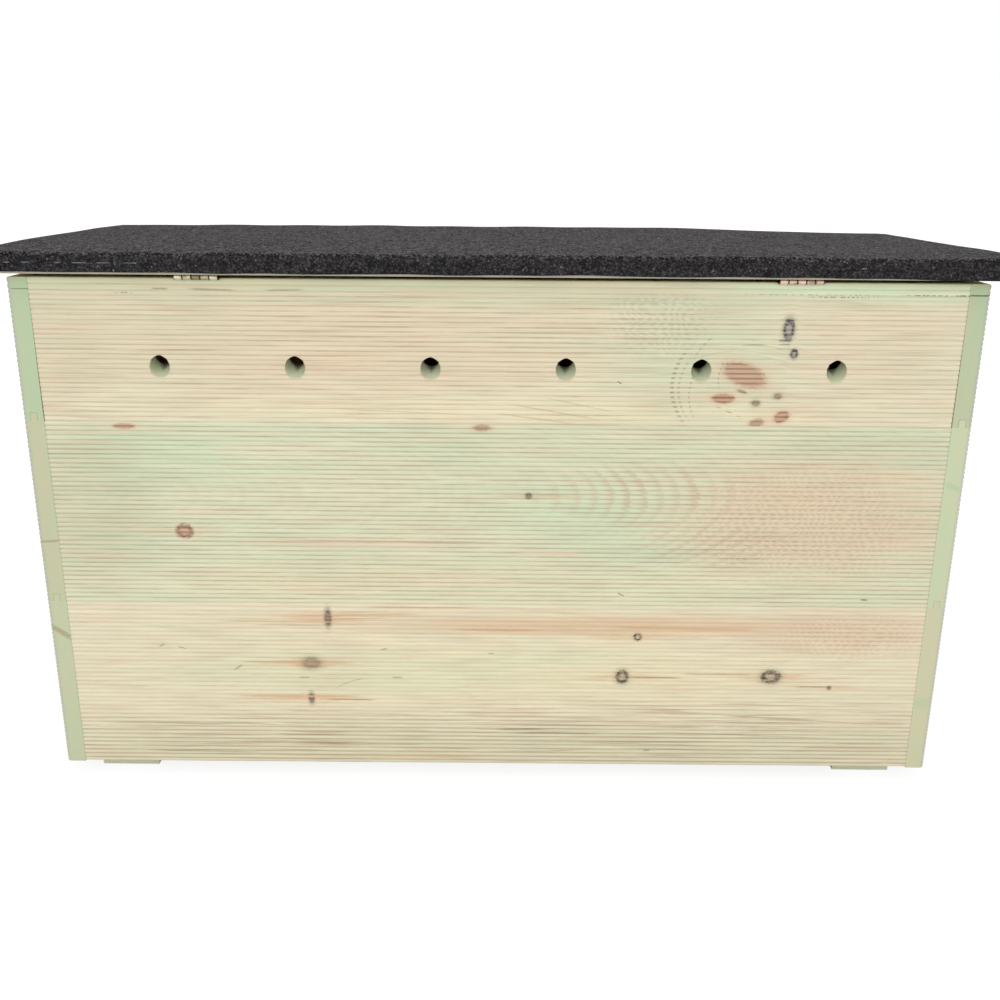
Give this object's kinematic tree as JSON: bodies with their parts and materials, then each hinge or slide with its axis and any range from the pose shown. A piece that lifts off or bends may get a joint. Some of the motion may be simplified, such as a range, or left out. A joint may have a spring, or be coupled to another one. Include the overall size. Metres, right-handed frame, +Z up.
{
  "type": "hedgehog house",
  "caption": "Timber hedgehog house: reeded board walls with slanted vents, a lobby and nest chamber inside, and a felted lid on hinges.",
  "frame": {"origin": "centre of the whole house's bounding box in plan, on the ground under its feet", "axes": "+Z up; +Y out of the back wall, which has the vents and hinges; the doorway faces -Y; X along the width, so left and right are as seen from the front"},
  "size_m": [0.765, 0.34, 0.4257],
  "materials": {
    "reeded_board": "pressure-treated pine, pale with a green tint, matt",
    "green_strip": "pressure-treated pine, greener, matt",
    "planed_timber": "planed softwood, matt",
    "plywood": "exterior plywood, matt",
    "foot_timber": "rough-sawn green treated batten, matt",
    "hinge_brass": "brassed steel, satin",
    "zinc_steel": "zinc-plated, satin",
    "roof_felt": "mineral-faced bitumen roofing felt, rough"
  },
  "bodies": {
    "house": {"back_board_bottom": "reeded_board", "back_board_middle": "reeded_board", "back_board_top": "reeded_board", "back_top_strip": "green_strip", "front_board_bottom": "reeded_board", "front_board_middle": "reeded_board", "front_board_top": "reeded_board", "front_top_strip": "green_strip", "left_board_bottom": "reeded_board", "left_board_middle": "reeded_board", "left_board_top": "reeded_board", "left_top_strip": "green_strip", "right_board_bottom": "reeded_board", "right_board_middle": "reeded_board", "right_board_top": "reeded_board", "right_top_strip": "green_strip", "front_left_post": "planed_timber", "front_right_post": "planed_timber", "back_left_post": "planed_timber", "back_right_post": "planed_timber", "floor_panel": "plywood", "left_foot_batten": "foot_timber", "right_foot_batten": "foot_timber", "partition": "plywood", "front_partition_cleat": "planed_timber", "back_partition_cleat": "planed_timber", "left_hinge_wall_leaf": "hinge_brass", "left_hinge_pin": "hinge_brass", "right_hinge_wall_leaf": "hinge_brass", "right_hinge_pin": "hinge_brass", "wall_leaf_screws": "hinge_brass", "frame_screws": "zinc_steel", "floor_screws": "zinc_steel", "partition_screws": "zinc_steel", "strip_nails": "zinc_steel"},
    "lid": {"lid_board": "plywood", "roof_felt": "roof_felt", "felt_staples": "zinc_steel", "left_hinge_lid_leaf": "hinge_brass", "right_hinge_lid_leaf": "hinge_brass", "lid_leaf_screws": "hinge_brass"}
  },
  "joints": [
    {"name": "lid_hinge", "type": "hinge", "parent": "house", "child": "lid", "pos_m": [0, 0.16263, 0.40875], "axis": [-1, 0, 0], "range_deg": [0, 120]}
  ]
}
